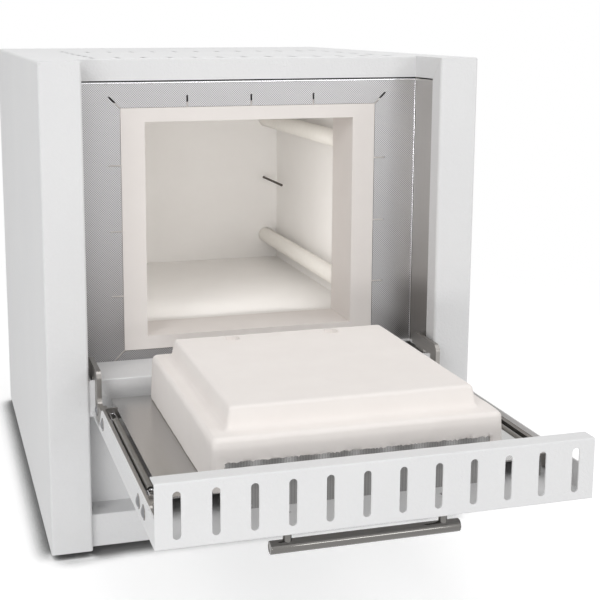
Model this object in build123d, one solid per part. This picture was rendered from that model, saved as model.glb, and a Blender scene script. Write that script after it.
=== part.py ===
from build123d import *
import math
import os

# Bench muffle furnace with a flap door that folds down in front of it.
# Everything is drawn with X across the furnace, Y = 0 on the front of the two casing columns
# (rearwards is +Y) and Z = 0 on the underside of the casing. save() then moves each piece so
# that the origin lies on the bench, under the middle of the furnace with its door open.
# All sizes are in millimetres.

# ---------------------------------------------------------------- casing
case_width = 490.0
case_height = 533.0
case_depth = 585.0
steel = 1.5                # powder-coated casing sheet
bend = 3.0                 # outside radius of a folded edge
column_width = 45.0        # front of each side cover, beside the door
column_return = 22.0       # flange that turns back into the alcove
alcove_depth = 70.0        # the door folds into this alcove
header_height = 24.0       # strip under the top, above the door
mitre_gap = 0.4
rear_flange = 18.0
shelf_width = 12.0         # ledge of each side cover, under the edge of the top cover
foot_height = 8.0
foot_radius = 15.0
foot_inset = 40.0
side_air = 18.0            # between the side covers and the insulated box
top_air = 7.0
rear_air = 36.0            # electrical space behind the insulated box

# ---------------------------------------------------------------- vents in the top cover
vent_end_share = 0.3       # of a vent's width, cut off each corner
top_slot_width = 5.0
top_slot_length = 30.0
top_slot_margin = 69.8     # casing's side to the outer column of vents
top_slot_columns = 13
top_slot_pitch_y = 55.0
top_slot_rows = 6
top_slot_front = 102.0
top_second_row = 347.0

# ---------------------------------------------------------------- lower front
strip_height = 37.5        # front flange of the base tray
strip_recess = 10.0
panel_recess = 45.0        # control panel, behind the column fronts
panel_top = 141.0
sill_top = 193.0
sill_bottom = 152.0
sill_front = 4.0
sill_lip = 14.0
slot_play = 1.7            # beside each lever in the sill's slots
sill_tongue = 6.0          # sill left behind the slots
side_play = 0.5            # between a flat part and the covers beside it

# ---------------------------------------------------------------- stainless front plate
stainless = 1.0
plate_play = 0.5           # round the fibre collar
slit_length = 14.0
corner_slit_length = 18.5
slit_width = 2.0
slit_overlap = 1.0         # how far a slit runs into the hole round the collar
slit_pitch = 74.0

# ---------------------------------------------------------------- fibre collar and chamber
collar_side = 26.75        # width of the collar's face beside the opening
collar_below = 15.0
collar_above = 15.5
jamb_overhang = 32.0       # the opening is narrower than the chamber by this on each side
floor_level = 219.5        # chamber floor and lower edge of the opening
jamb_depth = 68.0
collar_step = 6.0          # the block behind the plate stops this far above the collar's lip
collar_step_depth = 18.5
wall_thick = 50.0          # fibre side walls and back wall
slab_thick = 40.0          # fibre floor and ceiling
fibre_play = 0.3

# ---------------------------------------------------------------- insulation and inner casing
board_thick = 20.0
inner_steel = 1.0
rail_inset = 60.0
rail_flange = 25.0
rail_wall = 2.0

# ---------------------------------------------------------------- heating and measuring
tube_radius = 10.7
tube_wall = 2.5
tube_from_wall = 17.1      # tube axis to the chamber's side wall
tube_from_floor = 34.3     # tube axis to the floor, and to the ceiling
tube_socket = 8.0          # how far a tube enters the collar block
rod_end_gap = 6.0
terminal_radius = 3.0
terminal_size = 24.0
terminal_length = 16.0
terminal_pin = 10.0
probe_radius = 1.6
probe_from_wall = 20.3
probe_reach = 92.0
probe_head_size = 18.0
probe_head_length = 20.0
flue_x = -90.0
flue_from_ceiling = 33.5
flue_radius = 14.0
flue_wall = 4.0
flue_stub = 30.0           # outside, past the flange
flange_radius = 26.0
flange_thick = 2.0
spigot_wall = 1.7
gland_inset = 75.0         # casing's side to the cable gland
gland_z = 70.0
gland_radius = 10.0
gland_nut = 26.0           # across flats
gland_nut_thick = 6.0
gland_length = 24.0
gland_bore = 5.0
gland_depth = 20.0

# ---------------------------------------------------------------- rear cover
rear_slot_width = 5.0
rear_slot_length = 60.0
rear_slot_pitch = 14.0
rear_slot_count = 9
rear_slot_low = 120.0
rear_slot_high = 300.0
screw_head_radius = 4.5
screw_head_height = 2.6
screw_rows = 4

# ---------------------------------------------------------------- controls on the lower panel
controller_inset = 130.0   # right column to the controller's middle
controller_width = 96.0
controller_height = 72.0
controller_depth = 60.0
bezel_thick = 4.0
bezel_border = 3.0
window_width = 70.0
window_height = 30.0
window_recess = 1.2
switch_inset = 45.0        # right column to the switch's middle
axle_radius = 1.5
rocker_radius = 11.0
rocker_width = 18.0
rocker_swing = 20.0
rocker_face = 7.5          # pivot to the middle of the rocker's face
rocker_play = 0.5
switch_border = 4.0
switch_depth = 22.0
control_z = 88.0
relay_width = 60.0
relay_depth = 90.0
relay_height = 45.0
relay_fins = 5
relay_fin_gap = 6.0

# ---------------------------------------------------------------- door hinge
pivot_y = 15.5
pivot_z = 170.5
pin_radius = 4.0
pin_play = 0.05
pin_head_radius = 6.0
pin_head_thick = 1.5
lever_thick = 5.0
lever_play = 0.3
flange_to_column = 3.0     # door's side flange to the column
bracket_thick = 2.6
bracket_reach = 24.0
leg_bottom = 158.5
leg_top = 177.0
leg_from_apron = 38.5      # door's front edge to the lever's end
neck_front = -27.0         # the lever turns up here, over the sill
neck_rear = -12.0
horn_bottom = 197.0
horn_top = 211.0
horn_rear = 40.0
drop_front = 8.0           # the lever's drop behind the sill's front, down to the pivot
drop_rear = 31.0
boss_radius = 9.0
crank_radius = 8.0         # rounded corners of the horn
knee_radius = 6.0
leg_end_radius = 5.0
heel_radius = 4.0

# ---------------------------------------------------------------- door
skin_bottom = 156.0
skin_rear = 3.0
door_top_gap = 0.5         # closed door to the level of the casing's top
apron_height = 56.5        # slotted strip along the door's edge
apron_lip = 17.0
flange_height = 26.0
flange_rear = -66.0
flange_slope = 20.0
apron_slots = 12
apron_slot_margin = 18.25  # door's side to the first slot
apron_slot_length = 41.0
apron_slot_width = 7.0
pan_level = 176.0
pan_to_lever = 12.5
pan_past_block = 8.0       # behind the fibre block
pan_upstand = 26.0
upstand_rebate = 4.5       # the front upstand stands this far inside the block's front
upstand_inset = 13.0       # block's side to the end of the upstand
seal_gap = 0.6             # closed block to the collar's face
block_draft = 2.0
block_side_rim = 19.0      # the block beside, in front of and behind its plug
block_front_rim = 19.5
block_rear_rim = 18.0
plug_play = 3.5            # closed plug to the opening, all round
plug_height = 20.6
plug_taper = 3.5
plug_base_radius = 5.0
plug_edge_radius = 2.0
block_edge_radius = 3.0
dimple_radius = 8.0
dimple_depth = 2.0
dimple_spread = 55.0
dimple_from_edge = 12.0
neck_bolt_y = -25.0
flange_bolt_y = -73.0
leg_bolt_inset = 9.0       # lever's end to its last bolt
leg_bolt_pitch = 24.0
bolt_z = 169.5
bolt_radius = 3.0
bolt_play = 0.1
bolt_head_radius = 5.6
bolt_head_height = 2.4
spring_radius = 4.75
spring_to_lever = 6.5      # spring's axis to the lever's inner face
spring_z = 173.0
spring_rear = -75.0
spring_from_end = 46.0     # lever's end to the spring's body
hook_wire = 0.9
anchor_thick = 3.0
anchor_length = 16.0
anchor_height = 12.0
rear_anchor_y = -52.0
anchor_from_end = 22.0     # lever's end to the front lug
handle_from_apron = 42.5   # door's front edge to the bar
handle_drop = 29.5         # bar's axis below the door skin
handle_radius = 6.0
handle_length = 178.0
post_radius = 4.0
post_spread = 73.0
post_foot_radius = 6.0
post_foot_height = 2.0
post_head = 9.0            # half of the cut through a post for the bar

# ---------------------------------------------------------------- worked out from the above
half_width = case_width / 2
alcove_half = half_width - column_width
header_bottom = case_height - header_height
inside_half = half_width - steel
top_underside = case_height - steel
plate_back = alcove_depth + stainless
lining_front = alcove_depth + steel
jamb_back = alcove_depth + jamb_depth
shell_half = inside_half - side_air
board_half = shell_half - inner_steel
block_half_width = board_half - board_thick
chamber_half = block_half_width - wall_thick
opening_half = chamber_half - jamb_overhang
board_top = top_underside - top_air - inner_steel
block_ceiling = board_top - board_thick
ceiling_level = block_ceiling - slab_thick
block_floor = floor_level - slab_thick
board_bottom = block_floor - board_thick
shell_bottom = board_bottom - inner_steel
shell_back = case_depth - rear_air
board_back = shell_back - inner_steel
back_face = board_back - board_thick
chamber_back = back_face - wall_thick
collar_half = opening_half + collar_side
collar_bottom = floor_level - collar_below
collar_top = ceiling_level + collar_above
cover_back = case_depth + steel
flue_z = ceiling_level - flue_from_ceiling
top_slot_pitch_x = 2 * (half_width - top_slot_margin) / (top_slot_columns - 1)
gland_x = half_width - gland_inset
controller_x = alcove_half - controller_inset
switch_x = alcove_half - switch_inset
door_half = alcove_half - flange_to_column
flange_inner = door_half - steel
lever_outer = flange_inner
lever_inner = lever_outer - lever_thick
fold_level = pivot_y + pivot_z    # a door point at Y comes to the height fold_level - Y when it closes
door_front = fold_level - (case_height - door_top_gap)
plug_half = opening_half - plug_play
plug_front = fold_level - (ceiling_level - plug_play)
plug_rear = fold_level - (floor_level + plug_play)
block_top = pivot_z + alcove_depth - seal_gap - pivot_y
block_half = plug_half + block_side_rim
block_front = plug_front - block_front_rim
block_rear = plug_rear + block_rear_rim
pan_half = lever_inner - pan_to_lever
upstand_half = block_half - upstand_inset
pan_front = block_front + upstand_rebate
pan_rear = block_rear + pan_past_block
leg_front = door_front + leg_from_apron
bolt_ys = (neck_bolt_y, flange_bolt_y, leg_front + leg_bolt_inset + leg_bolt_pitch, leg_front + leg_bolt_inset)
spring_x = lever_inner - spring_to_lever
spring_front = leg_front + spring_from_end
front_anchor_y = leg_front + anchor_from_end
handle_y = door_front + handle_from_apron
apron_slot_pitch = 2 * (door_half - apron_slot_margin) / (apron_slots - 1)
skin_top = skin_bottom + steel
apron_top = skin_bottom + apron_height
flange_top = skin_bottom + flange_height
tube_x = chamber_half - tube_from_wall
tube_zs = (floor_level + tube_from_floor, ceiling_level - tube_from_floor)
probe_x = chamber_half - probe_from_wall
probe_z = (floor_level + ceiling_level) / 2
handle_z = skin_bottom - handle_drop
rear_end = cover_back + max(flange_thick + flue_stub, gland_nut_thick + gland_length)
footprint_centre_y = (door_front + rear_end) / 2


# ---------------------------------------------------------------- small helpers
def save(name, *shapes):
    """Write one node: its solids, moved so that the origin is on the bench."""
    place = Pos(0, -footprint_centre_y, foot_height)
    solids = [place * solid for shape in shapes for solid in shape.solids()]
    node = solids[0] if len(solids) == 1 else Compound(children=solids)
    export_step(node, os.path.join("parts", name + ".step"))


def block(x, y, z):
    """A box from three (low, high) pairs."""
    size = [high - low for low, high in (x, y, z)]
    middle = [(low + high) / 2 for low, high in (x, y, z)]
    return Pos(*middle) * Box(*size)


def rod_y(x, z, radius, start, end):
    """A round bar along Y."""
    bar = Cylinder(radius, end - start)
    return Pos(x, (start + end) / 2, z) * Rot(90, 0, 0) * bar


def rod_x(y, z, radius, start, end):
    """A round bar along X."""
    bar = Cylinder(radius, end - start)
    return Pos((start + end) / 2, y, z) * Rot(0, 90, 0) * bar


def other_side(shape):
    """The same piece on the furnace's other side."""
    return mirror(shape, about=Plane.YZ)


def both_sides(shape):
    return [shape, other_side(shape)]


def vent_outline(length, width):
    """A narrow punched vent: a slot whose ends are cut back at 45 degrees."""
    outline = Rectangle(width, length)
    return chamfer(outline.vertices(), width * vent_end_share)


def upright(outline, x, z, low, high):
    """A cutter with that outline, through a sheet that faces the front."""
    return Pos(x, high, z) * extrude(Plane.XZ * outline, high - low)


def side_profile(points, start, end):
    """A plate outlined in (Y, Z) points, between two X places."""
    outline = make_face(Polyline(*[(start, y, z) for y, z in points], close=True))
    return extrude(outline, end - start, dir=(1, 0, 0))


# ---------------------------------------------------------------- casing covers
def side_cover():
    """Right side cover: side panel, column front, alcove return, rear flange and top ledge."""
    middle = steel / 2
    path = FilletPolyline(
        (half_width - rear_flange, case_depth - middle),
        (half_width - middle, case_depth - middle),
        (half_width - middle, middle),
        (alcove_half + middle, middle),
        (alcove_half + middle, column_return),
        radius=bend - middle,
    )
    sheet = extrude(trace(path, steel), case_height)
    sheet -= block((half_width - bend, half_width + 1), (-1, case_depth + 1), (case_height - bend, case_height + 1))
    sheet -= block((0, half_width), (-1, case_depth + 1), (top_underside, case_height + 1))
    fold_ends = (steel, case_depth - steel)
    fold = rod_y(half_width - bend, case_height - bend, bend, *fold_ends)
    fold -= rod_y(half_width - bend, case_height - bend, bend - steel, -1, case_depth + 1)
    fold &= block((half_width - bend, half_width), fold_ends, (case_height - bend, case_height))
    ledge = block((inside_half - shelf_width, inside_half), fold_ends, (top_underside - steel, top_underside))
    ledge -= block((0, alcove_half + steel), (0, column_return), (0, case_height))
    mitre = side_profile(
        [(-1, case_height + 1), (0, case_height), (column_return, header_bottom),
         (column_return + 1, header_bottom), (column_return + 1, case_height + 1)],
        alcove_half - 1, alcove_half + steel)
    return sheet + fold + ledge - mitre


def top_cover():
    """Flat top with the alcove's notch, the header strip, its two returns and the vents."""
    play = mitre_gap
    edge = half_width - bend
    cover = block((-edge, edge), (0, case_depth), (top_underside, case_height))
    cover -= block((-alcove_half, alcove_half), (-1, alcove_depth), (0, case_height + 1))
    header = block((-alcove_half - steel, alcove_half + steel), (alcove_depth, alcove_depth + steel),
                   (header_bottom, case_height))
    cover += header
    hand = side_profile(
        [(play, case_height), (alcove_depth, case_height), (alcove_depth, header_bottom),
         (column_return + play, header_bottom)],
        alcove_half, alcove_half + steel)
    for part in both_sides(hand):
        cover += part
    rear_half = half_width - rear_flange - side_play
    rear = block((-rear_half, rear_half), (case_depth - steel, case_depth), (case_height - rear_flange, case_height))
    cover += rear
    folds = [e for e in cover.edges().filter_by(Axis.X)
             if abs(e.center().Y - alcove_depth) < 0.01 and e.center().Z > case_height - 0.01]
    cover = fillet(folds, bend / 2)
    slot = extrude(vent_outline(top_slot_length, top_slot_width), steel + 2)
    first = -(top_slot_columns - 1) / 2 * top_slot_pitch_x
    for column in range(top_slot_columns):
        x = first + column * top_slot_pitch_x
        outer = column in (0, top_slot_columns - 1)
        side_rows = [top_slot_front + row * top_slot_pitch_y for row in range(top_slot_rows)]
        rows = side_rows if outer else [top_slot_front, top_second_row]
        for y in rows:
            cover -= Pos(x, y, top_underside - 1) * slot
    return cover


def screw_places():
    """(x, z) of the screws down both sides of the rear cover."""
    span = case_height - 2 * foot_inset
    xs = half_width - rear_flange / 2
    return [(side * xs, foot_inset + span * row / (screw_rows - 1))
            for row in range(screw_rows) for side in (-1, 1)]


def rear_cover():
    """Flat rear cover with two fields of vent slots and holes for the flue and the cable gland."""
    edge = half_width - bend / 2
    cover = block((-edge, edge), (case_depth, cover_back), (bend, case_height - bend))
    slot = vent_outline(rear_slot_length, rear_slot_width)
    first = -(rear_slot_count - 1) / 2 * rear_slot_pitch
    for index in range(rear_slot_count):
        for level in (rear_slot_low, rear_slot_high):
            cover -= upright(slot, first + index * rear_slot_pitch, level, case_depth - 1, cover_back + 1)
    cover -= rod_y(flue_x, flue_z, flue_radius + fibre_play, case_depth - 1, cover_back + 1)
    cover -= rod_y(gland_x, gland_z, gland_radius + fibre_play, case_depth - 1, cover_back + 1)
    return cover


def rear_screws():
    """Heads of the screws that hold the rear cover on the side covers' flanges."""
    return [rod_y(x, z, screw_head_radius, cover_back, cover_back + screw_head_height)
            for x, z in screw_places()]


def base_tray():
    """Base plate with the front strip, its ledge under the control panel and a rear flange."""
    half = inside_half - side_play
    front_half = alcove_half - side_play
    tray_back = case_depth - bend
    tray = block((-half, half), (column_return + side_play, tray_back), (0, steel))
    tray += block((-front_half, front_half), (strip_recess, column_return + side_play), (0, steel))
    tray += block((-front_half, front_half), (strip_recess, strip_recess + steel), (0, strip_height))
    ledge_back = panel_recess + steel
    tray += block((-front_half, front_half), (strip_recess, ledge_back), (strip_height - steel, strip_height))
    rear_half = half - rear_flange
    tray += block((-rear_half, rear_half), (tray_back - steel, tray_back), (0, rear_flange))
    fold = [e for e in tray.edges().filter_by(Axis.X)
            if abs(e.center().Y - strip_recess) < 0.01 and e.length > alcove_half]
    return fillet(fold, bend / 2)


def rubber_feet():
    """Four feet, screwed under the base tray."""
    foot = Pos(0, 0, -foot_height / 2) * Cone(foot_radius - 2, foot_radius, foot_height)
    x = half_width - foot_inset
    return [Pos(side * x, y, 0) * foot for side in (-1, 1) for y in (foot_inset + bend, case_depth - foot_inset)]


def chassis_rails():
    """Two Z-shaped rails that carry the insulated box above the electrical space."""
    x = half_width - rail_inset
    run = (lining_front, shell_back)
    web = block((x - rail_wall, x), run, (steel, shell_bottom))
    low = block((x - rail_flange, x), run, (steel, steel + rail_wall))
    high = block((x - rail_wall, x + rail_flange), run, (shell_bottom - rail_wall, shell_bottom))
    return both_sides(web + low + high)


# ---------------------------------------------------------------- lower front
def controller_cutout():
    width = controller_width / 2 - bezel_border
    height = controller_height / 2 - bezel_border
    return (controller_x - width, controller_x + width), (control_z - height, control_z + height)


def switch_cutout():
    width = rocker_width / 2 + rocker_play + steel
    height = rocker_radius + rocker_play + steel
    return (switch_x - width, switch_x + width), (control_z - height, control_z + height)


def control_panel():
    """Recessed lower panel, folded back over the electrical space at its top."""
    half = alcove_half - side_play
    back = panel_recess + steel
    panel = block((-half, half), (panel_recess, back), (strip_height, panel_top))
    panel += block((-half, half), (panel_recess, alcove_depth), (panel_top - steel, panel_top))
    fold = [e for e in panel.edges().filter_by(Axis.X)
            if abs(e.center().Y - panel_recess) < 0.01 and e.center().Z > panel_top - 0.01]
    panel = fillet(fold, bend / 2)
    for xs, zs in (controller_cutout(), switch_cutout()):
        panel -= block(xs, (panel_recess - 1, back + 1), zs)
    return panel


def controller_case():
    """Temperature controller: a bezel on the panel and its case behind it."""
    (left, right), (low, high) = controller_cutout()
    front = panel_recess - bezel_thick
    bezel = block((left - bezel_border, right + bezel_border), (front, panel_recess),
                  (low - bezel_border, high + bezel_border))
    bezel = fillet(bezel.edges().filter_by(Axis.Y), bezel_border)
    bezel = chamfer(bezel.faces().sort_by(Axis.Y)[0].edges(), 1.0)
    play = side_play / 2
    body = block((left + play, right - play), (panel_recess, panel_recess + controller_depth),
                 (low + play, high - play))
    window = block((controller_x - window_width / 2, controller_x + window_width / 2),
                   (front - 1, front + window_recess + stainless),
                   (control_z, control_z + window_height))
    return bezel + body - window


def controller_window():
    """Dark display window, set back in the bezel."""
    front = panel_recess - bezel_thick + window_recess
    play = side_play / 5
    return block(
        (controller_x - window_width / 2 + play, controller_x + window_width / 2 - play),
        (front, front + stainless),
        (control_z + play, control_z + window_height - play))


def switch_frame():
    """Rectangular frame of the mains switch, a cup that the rocker turns in."""
    (left, right), (low, high) = switch_cutout()
    front = panel_recess - stainless * 2
    rim = block((left - switch_border, right + switch_border), (front, panel_recess),
                (low - switch_border, high + switch_border))
    rim = fillet(rim.edges().filter_by(Axis.Y), 2.0)
    play = side_play / 2
    cup = block((left + play, right - play), (panel_recess, panel_recess + switch_depth), (low + play, high - play))
    well = block((left + steel, right - steel), (front - 1, panel_recess + switch_depth - steel),
                 (low + steel, high - steel))
    axle = rod_x(rocker_axis_y(), control_z, axle_radius, left + steel, right - steel)
    return rim + cup - well + axle


def rocker_axis_y():
    return panel_recess + rocker_face - stainless * 2 - rocker_radius / 4


def power_rocker():
    """Rocker of the mains switch, tipped to its off side, with a shallow V face."""
    axis_y = rocker_axis_y()
    half = rocker_width / 2
    drum = rod_x(0, 0, rocker_radius, -half, half)
    face = rocker_face
    lift = rocker_radius * math.tan(math.radians(rocker_swing / 2))
    cutter = side_profile(
        [(-face, 0), (-face - lift, rocker_radius + 1), (-2 * rocker_radius, rocker_radius + 1),
         (-2 * rocker_radius, -rocker_radius - 1), (-face - lift, -rocker_radius - 1)],
        -half - 1, half + 1)
    drum -= cutter
    drum -= block((-half - 1, half + 1), (rocker_face, 2 * rocker_radius), (-rocker_radius - 1, rocker_radius + 1))
    drum -= rod_x(0, 0, axle_radius + pin_play, -half - 1, half + 1)
    return Pos(switch_x, axis_y, control_z) * Rot(rocker_swing / 2, 0, 0) * drum


def relay_unit():
    """Finned relay on the base tray that switches the heating."""
    y0 = panel_recess + controller_depth + rail_flange
    body = block((-relay_width / 2, relay_width / 2), (y0, y0 + relay_depth), (steel, steel + relay_height))
    for index in range(relay_fins):
        x = -relay_width / 2 + relay_width * (index + 0.5) / relay_fins
        body -= block((x - relay_fin_gap / 2, x + relay_fin_gap / 2), (y0 - 1, y0 + relay_depth + 1),
                      (relay_height / 2, relay_height * 2))
    return body


def door_sill():
    """Folded sill across the alcove, with a slot on each side for the hinge levers."""
    half = alcove_half
    sill = block((-half, half), (sill_front, alcove_depth), (sill_top - steel, sill_top))
    sill += block((-half, half), (sill_front, sill_front + steel), (sill_bottom, sill_top))
    sill += block((-half, half), (sill_front, sill_front + sill_lip), (sill_bottom, sill_bottom + steel))
    folds = [e for e in sill.edges().filter_by(Axis.X)
             if abs(e.center().Y - sill_front) < 0.01 and e.length > half]
    sill = fillet(folds, bend / 2)
    slot = block((lever_inner - slot_play, lever_outer + slot_play),
                 (sill_front + 2 * steel, alcove_depth - sill_tongue), (sill_top - 3 * steel, sill_top + 1))
    for cut in both_sides(slot):
        sill -= cut
    return sill


# ---------------------------------------------------------------- alcove
def slit_cutters():
    """Expansion slits out of the collar's hole: three on each side and the top, one at each corner."""
    cuts = []
    low = alcove_depth - 1
    high = plate_back + 1
    slit = vent_outline(slit_length, slit_width)
    middle = (collar_bottom + collar_top) / 2
    for index in (-1, 0, 1):
        along = index * slit_pitch
        top_z = collar_top + plate_play - slit_overlap + slit_length / 2
        cuts.append(upright(slit, along, top_z, low, high))
        side_x = collar_half + plate_play - slit_overlap + slit_length / 2
        for side in (-1, 1):
            cuts.append(upright(Rot(0, 0, 90) * slit, side * side_x, middle + along, low, high))
    corner_slit = vent_outline(corner_slit_length, slit_width)
    reach = plate_play + (corner_slit_length / 2 - slit_overlap) * math.sqrt(0.5)
    for side in (-1, 1):
        for z, lean in ((collar_top + reach, -1), (collar_bottom - reach, 1)):
            slant = Rot(0, 0, 45 * side * lean) * corner_slit
            cuts.append(upright(slant, side * (collar_half + reach), z, low, high))
    return cuts


def front_plate():
    """Stainless plate at the back of the alcove, open round the collar and slit for expansion."""
    plate = block((-inside_half, inside_half), (alcove_depth, plate_back), (panel_top, header_bottom - steel))
    hole_half = collar_half + plate_play
    plate -= block((-hole_half, hole_half), (alcove_depth - 1, plate_back + 1),
                   (collar_bottom - plate_play, collar_top + plate_play))
    for cut in slit_cutters():
        plate -= cut
    return plate


def alcove_liner():
    """Stainless lining of the alcove's right side, between the column and the front plate."""
    return block((alcove_half, alcove_half + stainless), (column_return, alcove_depth),
                 (panel_top, header_bottom - steel))


# ---------------------------------------------------------------- fibre lining
def fibre_collar():
    """Fibre block that frames the mouth: a lip through the front plate and a wider body."""
    lip = block((-collar_half, collar_half), (alcove_depth, lining_front), (collar_bottom, collar_top))
    body = block((-block_half_width, block_half_width), (lining_front, jamb_back), (block_floor, block_ceiling))
    mouth = block((-opening_half, opening_half), (alcove_depth - 1, jamb_back + 1), (floor_level, ceiling_level))
    step = block((-block_half_width - 1, block_half_width + 1), (alcove_depth - 1, lining_front + collar_step_depth),
                 (collar_top + collar_step, block_ceiling + 1))
    collar = lip + body - mouth - step
    for x in (-tube_x, tube_x):
        for z in tube_zs:
            collar -= rod_y(x, z, tube_radius + fibre_play, jamb_back - tube_socket, jamb_back + 1)
    return collar


def chamber_floor():
    return block((-block_half_width, block_half_width), (jamb_back, chamber_back), (block_floor, floor_level))


def chamber_ceiling():
    return block((-block_half_width, block_half_width), (jamb_back, chamber_back), (ceiling_level, block_ceiling))


def chamber_wall():
    return block((chamber_half, block_half_width), (jamb_back, chamber_back), (floor_level, ceiling_level))


def rear_passages():
    """(x, z, radius) of all that passes through the furnace's back."""
    tubes = [(x, z, tube_radius) for x in (-tube_x, tube_x) for z in tube_zs]
    return [*tubes, (probe_x, probe_z, probe_radius), (flue_x, flue_z, flue_radius)]


def drilled(shape, start, end):
    for x, z, radius in rear_passages():
        shape -= rod_y(x, z, radius + fibre_play, start - 1, end + 1)
    return shape


def slotted(shape, start, end):
    """The same way through a hidden board or sheet, punched square."""
    for x, z, radius in rear_passages():
        half = radius + fibre_play
        shape -= block((x - half, x + half), (start - 1, end + 1), (z - half, z + half))
    return shape


def chamber_back_wall():
    wall = block((-block_half_width, block_half_width), (chamber_back, back_face), (block_floor, block_ceiling))
    return drilled(wall, chamber_back, back_face)


def back_insulation():
    board = block((-board_half, board_half), (back_face, board_back), (board_bottom, board_top))
    return slotted(board, back_face, board_back)


def floor_insulation():
    return block((-board_half, board_half), (lining_front, back_face), (board_bottom, block_floor))


def ceiling_insulation():
    return block((-board_half, board_half), (lining_front, back_face), (block_ceiling, board_top))


def side_insulation():
    return block((block_half_width, board_half), (lining_front, back_face), (block_floor, block_ceiling))


def inner_casing():
    """Sheet box round the insulation, open at the front."""
    outer = block((-shell_half, shell_half), (lining_front, shell_back), (shell_bottom, board_top + inner_steel))
    inner = block((-board_half, board_half), (lining_front - 1, board_back), (board_bottom, board_top))
    return slotted(outer - inner, board_back, shell_back)


# ---------------------------------------------------------------- heating, probe, flue, gland
def heating_tube(x, z):
    """Ceramic tube round one heating rod, held by the collar and the back wall."""
    start = jamb_back - tube_socket + fibre_play
    tube = rod_y(x, z, tube_radius, start, shell_back)
    return tube - rod_y(x, z, tube_radius - tube_wall, start + tube_wall, shell_back + 1)


def heating_rods():
    """Coil formers with their wire, one in each tube, each with a pin to its terminal."""
    rods = []
    start = jamb_back - tube_socket + rod_end_gap
    for x in (-tube_x, tube_x):
        for z in tube_zs:
            rod = rod_y(x, z, tube_radius - tube_wall - fibre_play, start, shell_back)
            rods.append(rod + rod_y(x, z, terminal_radius, shell_back, shell_back + terminal_pin))
    return rods


def terminal_blocks():
    """Ceramic terminals on the back of the inner casing, one round each rod's pin."""
    blocks = []
    half = terminal_size / 2
    for x in (-tube_x, tube_x):
        for z in tube_zs:
            body = block((x - half, x + half), (shell_back, shell_back + terminal_length), (z - half, z + half))
            body = chamfer(body.edges().filter_by(Axis.Y), 3.0)
            blocks.append(body - rod_y(x, z, terminal_radius + fibre_play, shell_back - 1, shell_back + terminal_pin))
    return blocks


def thermocouple_sheath():
    return rod_y(probe_x, probe_z, probe_radius, chamber_back - probe_reach, shell_back)


def thermocouple_head():
    """Ceramic connector block on the inner casing, at the end of the sheath."""
    half = probe_head_size / 2
    head = block((probe_x - half, probe_x + half), (shell_back, shell_back + probe_head_length),
                 (probe_z - half, probe_z + half))
    return chamfer(head.faces().sort_by(Axis.Y)[-1].edges(), probe_radius)


def flue_tube():
    """Ceramic exhaust tube from the chamber through the rear cover."""
    end = cover_back + flange_thick + flue_stub
    tube = rod_y(flue_x, flue_z, flue_radius, chamber_back, end)
    return tube - rod_y(flue_x, flue_z, flue_radius - flue_wall, chamber_back - 1, end + 1)


def flue_flange():
    """Steel flange on the rear cover with a spigot round the flue, for an exhaust hose."""
    flange_back = cover_back + flange_thick
    end = flange_back + flue_stub
    socket = flue_radius + fibre_play
    ring = rod_y(flue_x, flue_z, flange_radius, cover_back, flange_back)
    spigot = rod_y(flue_x, flue_z, socket + spigot_wall, flange_back, end)
    return ring + spigot - rod_y(flue_x, flue_z, socket, cover_back - 1, end + 1)


def cable_gland():
    """Cable gland in the rear cover: a hexagon on the sheet, a domed nut and a threaded neck."""
    start = cover_back
    hexagon = RegularPolygon(gland_nut / 2, 6, major_radius=False)
    nut = Pos(gland_x, start + gland_nut_thick, gland_z) * extrude(Plane.XZ * hexagon, gland_nut_thick)
    dome = rod_y(gland_x, gland_z, gland_radius + 1, start + gland_nut_thick, start + gland_nut_thick + gland_length)
    dome = chamfer(dome.edges().filter_by(GeomType.CIRCLE).sort_by(Axis.Y)[-1], 3.0)
    neck = rod_y(gland_x, gland_z, gland_radius, case_depth - gland_nut_thick, start)
    end = start + gland_nut_thick + gland_length
    return nut + dome + neck - rod_y(gland_x, gland_z, gland_bore, end - gland_depth, end + 1)


# ---------------------------------------------------------------- hinge
def hinge_bracket():
    """Plate under the sill that carries the right pivot pin, fixed to the column and liner."""
    plate = block((alcove_half - bracket_thick, alcove_half),
                  (sill_front + steel, pivot_y + bracket_reach), (sill_bottom + steel, sill_top - steel))
    return plate


def hinge_pin():
    """Pivot pin on the right bracket, with a retaining head inside the lever."""
    end = lever_inner - lever_play
    pin = rod_x(pivot_y, pivot_z, pin_radius, end, alcove_half - bracket_thick)
    head = rod_x(pivot_y, pivot_z, pin_head_radius, end - pin_head_thick, end)
    return pin + head


def hinge_lever():
    """Cranked right lever: under the door, up over the sill's front and down to the pivot."""
    outline = [
        (leg_front, leg_bottom), (neck_rear, leg_bottom), (neck_rear, horn_bottom),
        (drop_front, horn_bottom), (drop_front, pivot_z), (pivot_y, pivot_z - boss_radius),
        (drop_rear, pivot_z), (drop_rear, horn_bottom), (horn_rear, horn_bottom),
        (horn_rear, horn_top), (neck_front, horn_top), (neck_front, leg_top), (leg_front, leg_top),
    ]
    lever = side_profile(outline, lever_inner, lever_outer)
    lever += rod_x(pivot_y, pivot_z, boss_radius, lever_inner, lever_outer)
    for y, z, radius in ((neck_front, horn_top, crank_radius), (horn_rear, horn_top, crank_radius),
                         (neck_front, leg_top, knee_radius), (neck_rear, leg_bottom, heel_radius),
                         (leg_front, leg_top, leg_end_radius), (leg_front, leg_bottom, leg_end_radius)):
        corner = [e for e in lever.edges().filter_by(Axis.X)
                  if abs(e.center().Y - y) < 0.01 and abs(e.center().Z - z) < 0.01]
        lever = fillet(corner, radius)
    lever -= rod_x(pivot_y, pivot_z, pin_radius + pin_play, lever_inner - 1, lever_outer + 1)
    for y in bolt_ys:
        lever -= rod_x(y, bolt_z, bolt_radius + bolt_play, lever_inner - 1, lever_outer + 1)
    return lever


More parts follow.
